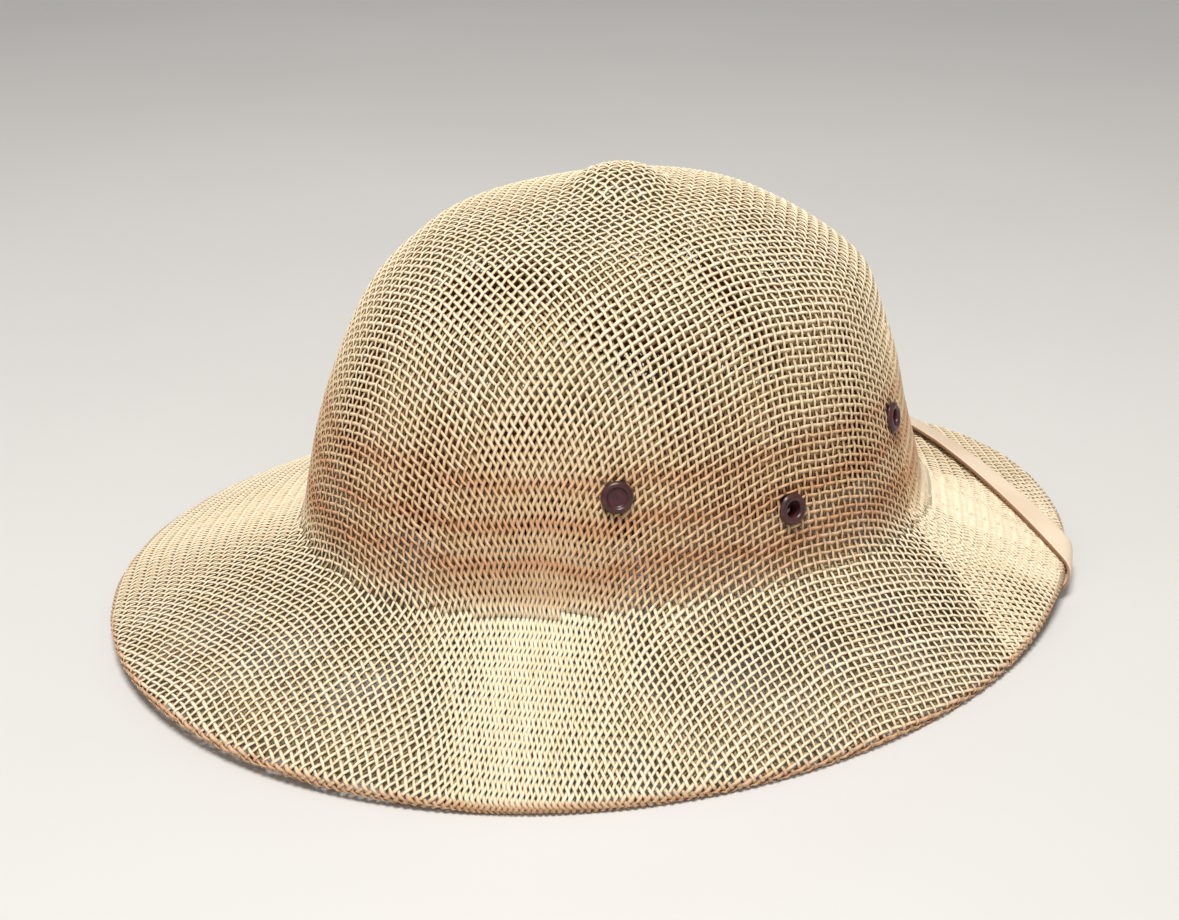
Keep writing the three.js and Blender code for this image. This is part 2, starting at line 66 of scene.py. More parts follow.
# Rows of the outer face from the top down: front and back of the crown's half length, rise of the height
# above the crease, out and drop of the way from the crease to the rim
SECTION_COLUMNS = ("front", "back", "rise", "out", "drop")
SECTION = np.array([
    (0, 0, 1, 0, 0),
    (0.201, 0.195, 0.985, 0, 0),
    (0.366, 0.339, 0.955, 0, 0),
    (0.498, 0.551, 0.9, 0, 0),
    (0.637, 0.671, 0.82, 0, 0),
    (0.763, 0.774, 0.72, 0, 0),
    (0.818, 0.846, 0.6, 0, 0),
    (0.873, 0.911, 0.45, 0, 0),
    (0.909, 0.961, 0.3, 0, 0),
    (0.954, 0.995, 0.15, 0, 0),
    (0.983, 1.014, 0.055, 0, 0),
    (1, 1, 0.008, 0.05, 0),
    (1, 1, 0, 0.14, 0.11),
    (1, 1, 0, 0.3, 0.28),
    (1, 1, 0, 0.5, 0.49),
    (1, 1, 0, 0.7, 0.69),
    (1, 1, 0, 0.86, 0.855),
    (1, 1, 0, 1, 1),
])
BRIM_END = len(SECTION) - 1
CREASE_ROW = 11
WALL_ROWS = (4, 11)
BRIM_ROWS = (10, BRIM_END)

# Weave: two pressed layers of the same plain-woven mesh
PITCH = 2.7
THREAD_WIDTH = 1
THREAD_THICKNESS = 0.56
RIM_SWELL = 0.3  # threads look fuller where the mesh turns round the rim
WAVE = 0.3
JITTER = 0.008  # in rows, how far the crossings stray
THREAD_SPREAD = 0.1  # how much the width differs from thread to thread
CROSSING_SPREAD = 0.06  # and from crossing to crossing
WIDTH_LIMITS = (0.78, 1.22)
RIM_FADE_START = 0.2  # rows before the brim's end at which the swell and the painted shade on the rolled rim set in
RIM_FADE_ROWS = 0.35
LAYERS = [
    {"name": "outer", "depth": 0.7, "turn": 75, "shift": (0, 0), "sides": 5, "rolled": True},
    {"name": "inner", "depth": 1.94, "turn": 78.5, "shift": (0.12, 0.1), "sides": 4, "rolled": False},
]
ROLL_TURN = 216  # degrees that the mesh goes round the rolled edge in one row past the brim's end
NET_SPARE_ROWS = 7  # rows past the brim's end on which the net is still laid out
OFF_FORM = 99  # a row that stands for no crossing

# Headband
BAND_HEIGHT = 39
BAND_FOOT = 20
BAND_WALL = 1.6
BAND_AIR = 6
BAND_EDGE = 0.28  # how far the edges are rounded off

# Fasteners. The heads and the rivets' rings are slightly smaller than in the part's source
FLANGE_WIDTH = 9.9
FLANGE_THICKNESS = 1.3
INNER_FLANGE_THICKNESS = 0.9
FLANGE_WOBBLE = 0.025
RIVET_SHANK = 4.6
RIVET_RING_WIDTH = 6.1
RIVET_DIMPLE = 0.9
RIVET_PIN = 0.2  # radius of the flat at the middle of the dimple
EYELET_BARREL = 6.6
EYELET_BORE = 4.8
HEAD_COVER = 1.8  # how far a head reaches over the mesh round its hole
CORNER_CUTS = 2
CORNER_SHARE = 0.2
LATHE_STEPS = 48
RIVET = {"angle": 115, "height": 67.8}
FRONT_EYELET = {"angle": 38.2, "height": 67.1}
SIDE_EYELET = {"angle": 75.8, "height": 55.3}

# Chin strap
STRAP_WIDTH = 12
STRAP_WALL = 1.2
STRAP_FORWARD = 138
STRAP_BOW = 5
STRAP_REACH = 70
STRAP_EDGE_LIFT = 1
STRAP_WRAP = 166
STRAP_RISE = 0.24
STRAP_BEVEL = 0.25
STRAP_SOFTENING = 24  # rounds of smoothing
STRAP_FLARE_X = 0.955
STRAP_FLARE_Y = 0.42
STRAP_UNDER = ((0.2, 1.8), (0.45, 1.3), (0.75, 1.3))  # back, slack
STRAP_CLIMB = (  # round, climb, slack
    (0.1, 0.08, 1.5), (0.28, 0.25, 0.7), (0.46, 0.44, 0.1), (0.64, 0.63, 0),
    (0.82, 0.82, 0), (1, 1, 0), (1.1, 1.1, 0),
)

CLEARANCE = 0.3
CURVE_ROOM = 0.4
STRAP_DEPTH = WALL + CLEARANCE + CURVE_ROOM
BAND_DEPTH = STRAP_DEPTH + STRAP_WALL + CLEARANCE + CURVE_ROOM / 2
RIVET_INNER_DEPTH = BAND_DEPTH + BAND_WALL + CLEARANCE + CURVE_ROOM
EYELET_INNER_DEPTH = WALL + CLEARANCE + CURVE_ROOM
STRAP_GAP = CLEARANCE + CURVE_ROOM + STRAP_WALL / 2
WRAP_RADIUS = ROLL_RADIUS + STRAP_GAP

CURVE_STEPS = 40  # for each of the section's rows
HALVINGS = 40

# Camera, fitted to the photograph's outline, in metres, and the photograph's frame in pixels
PHOTO_WIDTH = 1179
FOCAL_PIXELS = 1800
SENSOR_WIDTH = 36
CAMERA_PLACE = Vector((-0.5091, 0.2185, 0.2990))
CAMERA_AIM = Vector((0.0143, -0.0007, 0.0358))

# Light, with the lamps' places and sizes in metres and their power in watts
LIGHT_COLOUR = (1, 0.99, 0.97)
WORLD_STRENGTH = 0.32
LAMPS = [
    {"name": "key", "place": (-0.4, 0.26, 1.47), "size": 0.6, "power": 25.5},
    {"name": "fill", "place": (-0.9, 0.5, 0.7), "size": 1.1, "power": 1.5},
]
LAMP_AIM = Vector((0, 0, 0.06))
FLOOR_REACH = 3000


# The shell's surface

def dense_section():
    """The section's rows joined by Catmull-Rom curves, mirrored at the top, at close steps of the row."""
    mirrored = SECTION[1] * [-1, -1, 1, -1, -1]
    rows = np.vstack([mirrored, SECTION, 2 * SECTION[-1] - SECTION[-2]])
    steps = np.linspace(0, BRIM_END, BRIM_END * CURVE_STEPS + 1)
    k = np.minimum(steps.astype(int), BRIM_END - 1)
    f = (steps - k)[:, None]
    a, b, c, d = rows[k], rows[k + 1], rows[k + 2], rows[k + 3]
    curve = b + 0.5 * f * ((c - a) + f * ((2 * a - 5 * b + 4 * c - d) + f * (3 * b - 3 * c + d - a)))
    last = curve[-1] + (curve[-1] - curve[-2]) * NET_SPARE_ROWS * CURVE_STEPS
    return np.append(steps, BRIM_END + NET_SPARE_ROWS), np.vstack([curve, last])


SECTION_STEPS, SECTION_CURVE = dense_section()


def section_at(t):
    return [np.interp(t, SECTION_STEPS, SECTION_CURVE[:, i]) for i in range(len(SECTION_COLUMNS))]


def oval_radius(angle, half_length, half_width, power):
    along = np.abs(np.cos(angle) / half_length) ** power
    across = np.abs(np.sin(angle) / half_width) ** power
    return (along + across) ** (-1 / power)


def rim_radius(angle):
    return oval_radius(angle, RIM_LENGTH / 2, RIM_WIDTH / 2, 2) + RIM_EGG / 2 * np.cos(3 * angle)


def middle_y(out):
    """The middle that the angles are counted round, from the crown's at 0 to the rim's at 1."""
    return RIM_EGG / 2 * out - CROWN_FORWARD * (1 - out)


def rim_lift(angle):
    ahead = np.maximum(0, (np.cos(angle) - FRONT_LIFT_START) / (1 - FRONT_LIFT_START))
    behind = np.maximum(0, (-np.cos(angle) - BACK_LIFT_START) / (1 - BACK_LIFT_START))
    return FRONT_LIFT * ahead ** LIFT_CURVE + BACK_LIFT * behind ** LIFT_CURVE


def crease_height(angle):
    return CREASE_HEIGHT + CREASE_SIDE_RISE * np.sin(angle) ** 2


ROLL_CENTRE_UP = ROLL_RADIUS * np.sin(np.radians(ROLL_FOOT))


def outer_point(angle, t):
    """A point on the outer face: angle from the front in radians, t along the section's rows."""
    front, back, rise, out, drop = section_at(t)
    ahead = (1 + np.cos(angle)) / 2
    share = front * ahead + back * (1 - ahead)
    power = 2 + (CROWN_SQUARENESS - 2) * (1 - rise)
    crown = oval_radius(angle, CROWN_LENGTH / 2, CROWN_WIDTH / 2, power) * share
    start = np.radians(ROLL_START)
    rim_out = rim_radius(angle) - ROLL_RADIUS * (1 - np.cos(start))
    rim_up = rim_lift(angle) + ROLL_CENTRE_UP + ROLL_RADIUS * np.sin(start)
    radius = crown + (rim_out - crown) * out
    crease = crease_height(angle)
    level = crease + (CROWN_TOP - crease) * rise + (rim_up - crease) * drop
    from_knob = np.hypot(radius * np.sin(angle), radius * np.cos(angle) + KNOB_BACK)
    q = np.minimum(1, from_knob / (KNOB_WIDTH / 2))
    knob = np.where(out > 0, 0, KNOB_HEIGHT * (1 - q ** KNOB_SQUARENESS) ** 2)
    x = radius * np.sin(angle)
    y = middle_y(out) - radius * np.cos(angle)
    return np.stack([x, y, level + knob], -1)


def roll_point(angle, degrees, radius=ROLL_RADIUS):
    out = rim_radius(angle) - ROLL_RADIUS + radius * np.cos(np.radians(degrees))
    up = rim_lift(angle) + ROLL_CENTRE_UP + radius * np.sin(np.radians(degrees))
    return np.stack([out * np.sin(angle), middle_y(1) - out * np.cos(angle), up], -1)


def flat_point(p, q):
    """The outer face over a plane whose middle is the top. Past its end the brim goes straight on."""
    return outer_point(np.arctan2(p, -q), np.hypot(p, q))


def shell_point(p, q):
    """The same, with the mesh going round the rolled edge past the brim's end."""
    angle = np.arctan2(p, -q)
    t = np.hypot(p, q)
    turned = ROLL_START - (t - BRIM_END) * ROLL_TURN
    on_brim = outer_point(angle, np.minimum(t, BRIM_END))
    return np.where((t > BRIM_END)[..., None], roll_point(angle, turned), on_brim)


def unit(v):
    return v / np.linalg.norm(v, axis=-1, keepdims=True)


def shell_normal(p, q, step=0.004):
    along_p = shell_point(p + step, q) - shell_point(p - step, q)
    along_q = shell_point(p, q + step) - shell_point(p, q - step)
    return unit(np.cross(along_p, along_q))


def polar(angle, t):
    return t * np.sin(angle), -t * np.cos(angle)


def inset_point(angle, t, depth):
    p, q = polar(angle, t)
    return shell_point(p, q) - shell_normal(p, q) * np.asarray(depth)[..., None]


def search(low, high, is_low):
    """The place between low and high, element by element, where is_low stops being true."""
    for _ in range(HALVINGS):
        middle = (low + high) / 2
        below = is_low(middle)
        low = np.where(below, middle, low)
        high = np.where(below, high, middle)
    return (low + high) / 2


def row_at_height(angle, height):
    angle = np.asarray(angle, float)
    low, high = (np.full(angle.shape, float(row)) for row in WALL_ROWS)
    return search(low, high, lambda t: outer_point(angle, t)[..., 2] > height)


def brim_at(x, y):
    """The angle and row of a place on the brim in plan."""
    def angle_at(t):
        return np.arctan2(x, middle_y(section_at(t)[3]) - y)

    def inside(t):
        p = outer_point(angle_at(t), t)
        centre = middle_y(section_at(t)[3])
        return np.hypot(p[..., 0], p[..., 1] - centre) < np.hypot(x, y - centre)

    low, high = (np.full(np.shape(x), float(row)) for row in BRIM_ROWS)
    t = search(low, high, inside)
    return angle_at(t), t


# Meshes

def add_mesh(name, points, quads, caps=(), values=None):
    """A mesh object from points in millimetres, four-sided faces, end faces of one size and point values."""
    caps = np.asarray(caps, int)
    mesh = bpy.data.meshes.new(name)
    mesh.vertices.add(len(points))
    mesh.vertices.foreach_set("co", (np.asarray(points) * MM).astype(np.float32).ravel())
    loops = np.concatenate([np.asarray(quads).ravel(), caps.ravel()])
    sizes = np.concatenate([np.full(len(quads), 4), np.full(len(caps), caps.shape[-1] if len(caps) else 0)])
    mesh.loops.add(len(loops))
    mesh.loops.foreach_set("vertex_index", loops.astype(np.int32))
    mesh.polygons.add(len(sizes))
    mesh.polygons.foreach_set("loop_start", (np.cumsum(sizes) - sizes).astype(np.int32))
    mesh.polygons.foreach_set("use_smooth", np.full(len(sizes), True))
    for key, data in (values or {}).items():
        mesh.attributes.new(key, "FLOAT", "POINT").data.foreach_set("value", np.asarray(data, np.float32))
    mesh.update(calc_edges=True)
    mesh.validate()
    piece = bpy.data.objects.new(name, mesh)
    bpy.context.scene.collection.objects.link(piece)
    return piece


def finish_piece(piece, material, slot, *nodes):
    piece.data.materials.append(material)
    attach(piece, "root")
    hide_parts(*nodes)


def ring_quads(rings, around, closed_along=False):
    """Faces that join rings of points, each closed on itself."""
    i, j = np.meshgrid(np.arange(rings if closed_along else rings - 1), np.arange(around), indexing="ij")
    a = i * around + j
    b = i * around + (j + 1) % around
    total = rings * around
    return np.stack([a, b, (b + around) % total, (a + around) % total], -1).reshape(-1, 4)


# The weave

def axis_line(centre, direction, pitch):
    """Places along a straight line over the plane of p and q, a thread's pitch apart on the surface."""
    samples = 12000
    reach = np.linspace(0, BRIM_END + NET_SPARE_ROWS - 1, samples)
    p = centre[0] + reach * direction[0]
    q = centre[1] + reach * direction[1]
    points = flat_point(p, q)
    run = np.append(0, np.cumsum(np.linalg.norm(np.diff(points, axis=0), axis=1)))
    at = np.interp(np.arange(0, run[-1], pitch), run, reach)
    return np.stack([centre[0] + at * direction[0], centre[1] + at * direction[1]], -1)


def crossing(a, b, guess, pitch):
    """Places on the surface one pitch from both a and b, near a guess, by Newton's method."""
    rounds, step, longest_move, tolerance = 7, 1e-4, 0.4, 0.2
    place = guess.copy()
    for _ in range(rounds):
        p, q = place.T
        points = flat_point(np.stack([p, p + step, p]), np.stack([q, q, q + step]))
        to_a, to_b = points - a, points - b
        off_a, off_b = ((v ** 2).sum(-1) - pitch ** 2 for v in (to_a, to_b))
        ap, aq = (off_a[1] - off_a[0]) / step, (off_a[2] - off_a[0]) / step
        bp, bq = (off_b[1] - off_b[0]) / step, (off_b[2] - off_b[0]) / step
        scale = ap * bq - aq * bp
        scale = np.where(np.abs(scale) < 1e-9, 1e-9, scale)
        move_p = (off_a[0] * bq - off_b[0] * aq) / scale
        move_q = (off_b[0] * ap - off_a[0] * bp) / scale
        place = place - np.clip(np.stack([move_p, move_q], -1), -longest_move, longest_move)
    miss = np.abs(off_a[0]) + np.abs(off_b[0])
    return place, miss < tolerance


def quadrant(line_a, line_b, pitch):
    """The net between two axis lines, row by row of crossings that lie equally far from the middle."""
    n, m = len(line_a), len(line_b)
    places = np.full((n, m, 2), np.nan)
    places[:, 0], places[0, :] = line_a, line_b
    points = np.full((n, m, 3), np.nan)
    points[:, 0] = flat_point(*line_a.T)
    points[0, :] = flat_point(*line_b.T)
    limit = BRIM_END + NET_SPARE_ROWS
    for total in range(2, n + m - 1):
        i = np.arange(max(1, total - m + 1), min(total, n))
        j = total - i
        known = np.isfinite(points[i - 1, j, 0]) & np.isfinite(points[i, j - 1, 0])
        i, j = i[known], j[known]
        if not len(i):
            break
        guess = places[i - 1, j] + places[i, j - 1] - places[i - 1, j - 1]
        place, found = crossing(points[i - 1, j], points[i, j - 1], guess, pitch)
        found &= np.hypot(*place.T) < limit
        i, j, place = i[found], j[found], place[found]
        places[i, j] = place
        points[i, j] = flat_point(*place.T)
    return places


def net(turn, shift, pitch):
    """The mesh's crossings as places p and q, in a grid of warp and weft laid on like a fishing net."""
    angle = np.radians(turn)
    warp = np.array([-np.sin(angle), -np.cos(angle)])
    weft = np.array([warp[1], -warp[0]])
    lines = {(axis, sign): axis_line(shift, sign * direction, pitch)
             for axis, direction in (("warp", warp), ("weft", weft)) for sign in (1, -1)}
    half = max(len(line) for line in lines.values())
    grid = np.full((2 * half + 1, 2 * half + 1, 2), np.nan)
    for i_sign in (1, -1):
        for j_sign in (1, -1):
            places = quadrant(lines["warp", i_sign], lines["weft", j_sign], pitch)
            i = half + i_sign * np.arange(places.shape[0])
            j = half + j_sign * np.arange(places.shape[1])
            grid[np.ix_(i, j)] = places
    return grid


def thread_mesh(grid, layer, along, holes):
    """The threads along one axis of the grid, as tubes of flattened section with one ring a crossing."""
    places = grid if along == 0 else grid.transpose(1, 0, 2)
    p, q = (np.nan_to_num(places[..., axis], nan=OFF_FORM) for axis in (0, 1))
    t = np.hypot(p, q)
    end = BRIM_END + 1 if layer["rolled"] else BRIM_END
    shown = t <= end
    p, q = np.where(shown, p, 0), np.where(shown, q, 1)
    surface = shell_point(p, q)
    normal = shell_normal(p, q)
    for centre, radius in holes:
        shown &= np.linalg.norm(surface - centre, axis=-1) > radius
    count, threads = shown.shape
    odd = (np.arange(count)[:, None] + np.arange(threads)[None, :] + along) % 2 * 2 - 1
    centres = surface + normal * (odd * WAVE - layer["depth"])[..., None]
    has_next = np.zeros_like(shown)
    has_next[:-1] = shown[:-1] & shown[1:]
    has_last = np.zeros_like(shown)
    has_last[1:] = has_next[:-1]
    ahead = np.where(has_next[..., None], np.roll(surface, -1, 0), surface)
    behind = np.where(has_last[..., None], np.roll(surface, 1, 0), surface)
    used = has_next | has_last
    tangent = np.where(used[..., None], ahead - behind, [1, 0, 0])
    side = unit(np.cross(unit(tangent), normal))
    sides = layer["sides"]
    turn = np.pi / 2 + 2 * np.pi * np.arange(sides) / sides
    by_thread = THREAD_SPREAD * rng.standard_normal((1, threads))
    by_crossing = CROSSING_SPREAD * rng.standard_normal(shown.shape)
    # 0 on the brim to 1 round the rolled edge: sets the threads' swell and the painted shade on the rim
    rim = np.clip((t - BRIM_END + RIM_FADE_START) / RIM_FADE_ROWS, 0, 1)
    swell = (np.clip(1 + by_thread + by_crossing, *WIDTH_LIMITS) * (1 + RIM_SWELL * rim))[..., None, None]
    across = np.cos(turn)[:, None] * THREAD_WIDTH / 2
    upward = np.sin(turn)[:, None] * THREAD_THICKNESS / 2
    rings = centres[..., None, :] + side[..., None, :] * across * swell + normal[..., None, :] * upward
    # Height on the thread's section, 0 below to 1 on top, which the material turns into painted shade and
    # painted highlight
    level = (odd[..., None] * WAVE + upward[:, 0]) / (WAVE + THREAD_THICKNESS / 2) * 0.5 + 0.5
    tone = np.broadcast_to(rng.random((1, threads, 1)), level.shape)
    # Carries the painted shade of the rolled rim to the material
    edge = np.broadcast_to(rim[..., None], level.shape)
    number = np.cumsum(used.ravel()).reshape(used.shape) - 1
    ring = np.arange(sides)
    here = number[has_next][:, None] * sides
    there = np.roll(number, -1, 0)[has_next][:, None] * sides
    quads = np.stack([here + ring, there + ring, there + (ring + 1) % sides, here + (ring + 1) % sides], -1)
    row_ahead = np.where(has_next, (t + np.roll(t, -1, 0)) / 2, np.nan)
    row_behind = np.where(has_last, np.roll(row_ahead, 1, 0), np.nan)
    return {
        "points": rings[used].reshape(-1, 3),
        "quads": quads.reshape(-1, 4),
        "row": np.repeat(row_ahead[has_next], sides),
        "rings": number[used][:, None] * sides + ring,
        "row_ahead": row_ahead[used],
        "row_behind": row_behind[used],
        "level": level[used].ravel(),
        "tone": tone[used].ravel(),
        "edge": edge[used].ravel(),
    }


def in_region(row, region):
    """Which stretches of thread, given by their rows, lie in the region. A missing one has no number."""
    return np.isfinite(row) & ((row < CREASE_ROW) == (region == "crown"))


def cut_out(mesh, name, region):
    """The threads of one region as an object of its own, with a cap on each thread's end."""
    quads = mesh["quads"][in_region(mesh["row"], region)]
    ahead, behind = in_region(mesh["row_ahead"], region), in_region(mesh["row_behind"], region)
    caps = np.concatenate([mesh["rings"][ahead & ~behind], mesh["rings"][behind & ~ahead][:, ::-1]])
    chosen = np.unique(np.concatenate([quads.ravel(), caps.ravel()]))
    new = np.zeros(len(mesh["points"]), int)
    new[chosen] = np.arange(len(chosen))
    values = {key: mesh[key][chosen] for key in ("level", "tone", "edge")}
    return add_mesh(name, mesh["points"][chosen], new[quads], new[caps], values)


def add_weave(seats, materials):
    for layer in LAYERS:
        grid = net(layer["turn"], layer["shift"], PITCH)
        grid += rng.normal(0, JITTER, grid.shape)
        holes = [(seat["place"], FLANGE_WIDTH / 2 - HEAD_COVER) for seat in seats]
        for along, thread in ((0, "warp"), (1, "weft")):
            mesh = thread_mesh(grid, layer, along, holes)
            for region in ("crown", "brim"):
                piece = cut_out(mesh, f"mesh_{layer['name']}_{region}_{thread}", region)
                finish_piece(piece, materials[layer["name"], region], "straw_mesh", "mesh_shell")


# Fasteners

def seat_of(spot, side):
    """Where a fastener sits: on the outer face, its axis along the wall's normal. side is 1 or -1 in x."""
    angle = side * np.radians(spot["angle"])
    t = row_at_height(angle, spot["height"])
    p, q = polar(angle, t)
    return {"place": shell_point(p, q), "axis": shell_normal(p, q)}


def lathe(name, profile, seat, closed=True, wobble=None):
    """A profile of radius and height turned about the seat's axis. An open one gets a cap at each end."""
    profile = np.array(profile, float)
    turn = 2 * np.pi * np.arange(LATHE_STEPS) / LATHE_STEPS
    axis = seat["axis"]
    level = unit(np.cross([0, 0, 1], axis))
    up = np.cross(axis, level)
    reach = profile[:, 0][:, None] * (1 if wobble is None else wobble(turn, profile[:, 0][:, None]))
    spoke = np.cos(turn)[:, None] * level + np.sin(turn)[:, None] * up
    points = seat["place"] + reach[..., None] * spoke[None] + profile[:, 1][:, None, None] * axis
    ring = np.arange(LATHE_STEPS)
    caps = () if closed else [ring[::-1], (len(profile) - 1) * LATHE_STEPS + ring]
    return add_mesh(name, points.reshape(-1, 3), ring_quads(len(profile), LATHE_STEPS, closed), caps)


def rounded(profile, closed=True):
    """A profile with its corners cut, so that edges look moulded."""
    points = np.array(profile, float)
    near, far = CORNER_SHARE, 1 - CORNER_SHARE
    for _ in range(CORNER_CUTS):
        here, after = (points, np.roll(points, -1, 0)) if closed else (points[:-1], points[1:])
        cut = np.stack([here * far + after * near, here * near + after * far], 1).reshape(-1, 2)
        points = cut if closed else np.vstack([points[:1], cut, points[-1:]])
    return points


def add_rivet(name, seat, material):
    head, ring, shank = FLANGE_WIDTH / 2, RIVET_RING_WIDTH / 2, RIVET_SHANK / 2
    top = CLEARANCE + FLANGE_THICKNESS
    foot = -RIVET_INNER_DEPTH - INNER_FLANGE_THICKNESS
    profile = rounded([
        (RIVET_PIN, foot),
        (head * 0.8, foot),
        (head * 0.85, -RIVET_INNER_DEPTH),
        (shank, -RIVET_INNER_DEPTH),
        (shank, CLEARANCE),
        (head, CLEARANCE),
        (head, CLEARANCE + FLANGE_THICKNESS * 0.3),
        (head * 0.93, CLEARANCE + FLANGE_THICKNESS * 0.75),
        (head * 0.82, top),
        (ring * 1.12, top),
        (ring * 0.88, top - RIVET_DIMPLE),
        (ring * 0.8, top - RIVET_DIMPLE),
        (ring * 0.4, top - RIVET_DIMPLE),
        (RIVET_PIN, top - RIVET_DIMPLE),
    ], closed=False)
    piece = lathe(f"{name}_moulded", profile, seat, closed=False)
    finish_piece(piece, material, "fastener_plastic", name)


def add_eyelet(name, seat, material):
    head, barrel, bore = FLANGE_WIDTH / 2, EYELET_BARREL / 2, EYELET_BORE / 2
    top = CLEARANCE + FLANGE_THICKNESS
    foot = -EYELET_INNER_DEPTH
    profile = rounded([
        (bore, foot),
        (bore * 1.08, foot - INNER_FLANGE_THICKNESS),
        (head * 0.82, foot - INNER_FLANGE_THICKNESS * 0.8),
        (head * 0.86, foot),
        (barrel, foot),
        (barrel, CLEARANCE),
        (head, CLEARANCE),
        (head, CLEARANCE + FLANGE_THICKNESS * 0.4),
        (head * 0.84, top),
        (bore * 1.3, top),
        (bore, top - FLANGE_THICKNESS * 0.6),
    ])

    def wobble(turn, radius):
        """The flange's pressed edge is slightly six-sided."""
        return 1 + FLANGE_WOBBLE * np.cos(6 * turn) * (radius > head * 0.8)

    piece = lathe(f"{name}_moulded", profile, seat, wobble=wobble)
    finish_piece(piece, material, "fastener_plastic", name)


# Headband

def band_depth(angle):
    """Close to the wall at the rivets, further in at the front and back."""
    degrees = np.abs(np.degrees(np.arctan2(np.sin(angle), np.cos(angle))))
    away = np.where(degrees < RIVET["angle"], (RIVET["angle"] - degrees) / RIVET["angle"],
                    (degrees - RIVET["angle"]) / (180 - RIVET["angle"]))
    return BAND_DEPTH + BAND_AIR * np.sin(away * np.pi / 2) ** 2


def add_headband(material):
    around, height_steps, roundness = 240, 11, 8
    angle = 2 * np.pi * np.arange(around) / around
    shares = np.linspace(0, 1, height_steps)
    roundings = BAND_EDGE * np.abs(2 * shares - 1) ** roundness
    outline = [*zip(shares, -roundings), *zip(shares[::-1], BAND_WALL + roundings[::-1])]
    rings = []
    for share, extra in outline:
        level = crease_height(angle) + BAND_FOOT + BAND_HEIGHT * share
        rings.append(inset_point(angle, row_at_height(angle, level), band_depth(angle) + extra))
    points = np.stack(rings)
    piece = add_mesh("headband_band", points.reshape(-1, 3), ring_quads(len(outline), around, True))
    finish_piece(piece, material, "headband_vinyl", "headband")


# Chin strap

def line_y(x, offset):
    """Where a fibre of the strap, at an offset behind its middle line, lies on the brim."""
    return offset - STRAP_FORWARD - STRAP_BOW * (x / STRAP_REACH) ** 2


def fibre_start(offset):
    """Where a fibre meets the rim on the left side: its place across, and the angle round the rim."""
    def rim_angle(x):
        return np.arctan2(x, middle_y(1) - line_y(x, offset))

    def inside(x):
        return x < roll_point(rim_angle(x), ROLL_START)[0]

    rim_x = search(np.array(0.0), np.array(RIM_WIDTH / 2), inside)
    return rim_x, rim_angle(rim_x)


def strap_fold():
    """How far the strap moves round the rim for each radian that it turns, and its direction beneath."""
    rim_x, angle = fibre_start(0)
    step = 0.01
    edge = roll_point(angle + step, 0) - roll_point(angle - step, 0)
    speed = np.linalg.norm(edge) / (2 * step)
    edge = unit(edge)
    heading = unit(np.array([1, -2 * STRAP_BOW * rim_x / STRAP_REACH ** 2, 0]))
    cosine = heading @ edge
    advance = cosine / np.sqrt(1 - cosine ** 2) * WRAP_RADIUS / speed
    beneath = 2 * cosine * edge - heading
    beneath[2] = STRAP_RISE
    return advance, unit(beneath)


def strap_fibre(offset, advance, beneath):
    """One fibre: over the brim, wound round the rolled edge, then straight on beneath."""
    steps, tail = 60, 40
    rim_x, start = fibre_start(offset)
    x = rim_x * np.arange(steps) / steps
    angle, t = brim_at(x, line_y(x, offset))
    lift = STRAP_EDGE_LIFT * (1 - x / rim_x) * (0.5 + offset / STRAP_WIDTH)
    top = outer_point(angle, t) + shell_normal(*polar(angle, t)) * (STRAP_GAP + lift)[:, None]
    turn = STRAP_WRAP * np.arange(steps + 1) / steps
    wound = roll_point(start + advance * np.radians(turn), ROLL_START - turn, WRAP_RADIUS)
    points = np.vstack([top, wound, wound[-1] + beneath * tail])
    lengths = np.append(0, np.cumsum(np.linalg.norm(np.diff(points, axis=0), axis=1)))

    def at(distance):
        return np.stack([np.interp(distance, lengths, points[:, axis]) for axis in range(3)], -1)

    return at, lengths[steps], lengths[-2]


def strap_stations(start_point):
    """Middle points and outer-face directions after the fold, back to the flare and up past the rivet."""
    flare_x = STRAP_FLARE_X * CROWN_WIDTH / 2
    flare_y = -CROWN_FORWARD - STRAP_FLARE_Y * CROWN_LENGTH / 2
    stations = []

    def add_station(angle, t, slack):
        point = inset_point(np.asarray(angle), np.asarray(t), WALL + STRAP_GAP + slack * STRAP_WALL)
        stations.append((point, -shell_normal(*polar(angle, t))))

    for back, slack in STRAP_UNDER:
        x = start_point[0] + (flare_x - start_point[0]) * back
        y = start_point[1] + (flare_y - start_point[1]) * back
        add_station(*brim_at(x, y), slack)
    start = np.arctan2(flare_x, -flare_y - CROWN_FORWARD)
    for around, climb, slack in STRAP_CLIMB:
        angle = start + (np.radians(RIVET["angle"]) - start) * around
        foot = crease_height(angle)
        add_station(angle, row_at_height(angle, foot + (RIVET["height"] - foot) * climb), slack)
    return stations


def centripetal(points, steps):
    """A centripetal Catmull-Rom curve through the points."""
    points = np.vstack([2 * points[0] - points[1], points, 2 * points[-1] - points[-2]])
    spans = np.linalg.norm(np.diff(points, axis=0), axis=1) ** 0.5
    curve = []
    for k in range(1, len(points) - 2):
        a, b, c, d = points[k - 1:k + 3]
        ta, tb, tc = spans[k - 1], spans[k], spans[k + 1]
        out = (b - a) / ta - (c - a) / (ta + tb) + (c - b) / tb
        into = (c - b) / tb - (d - b) / (tb + tc) + (d - c) / tc
        out, into = out * tb, into * tb
        f = np.arange(steps)[:, None] / steps
        cube = 2 * b - 2 * c + out + into
        square = -3 * b + 3 * c - 2 * out - into
        curve.append(b + out * f + square * f ** 2 + cube * f ** 3)
    return np.vstack(curve + [points[-2][None]])


def smoothed(rows):
    """Rows of points with the kinks softened along the strap. The first and last row stay."""
    for _ in range(STRAP_SOFTENING):
        rows = np.concatenate([rows[:1], (rows[:-2] + 2 * rows[1:-1] + rows[2:]) / 4, rows[-1:]])
    return rows


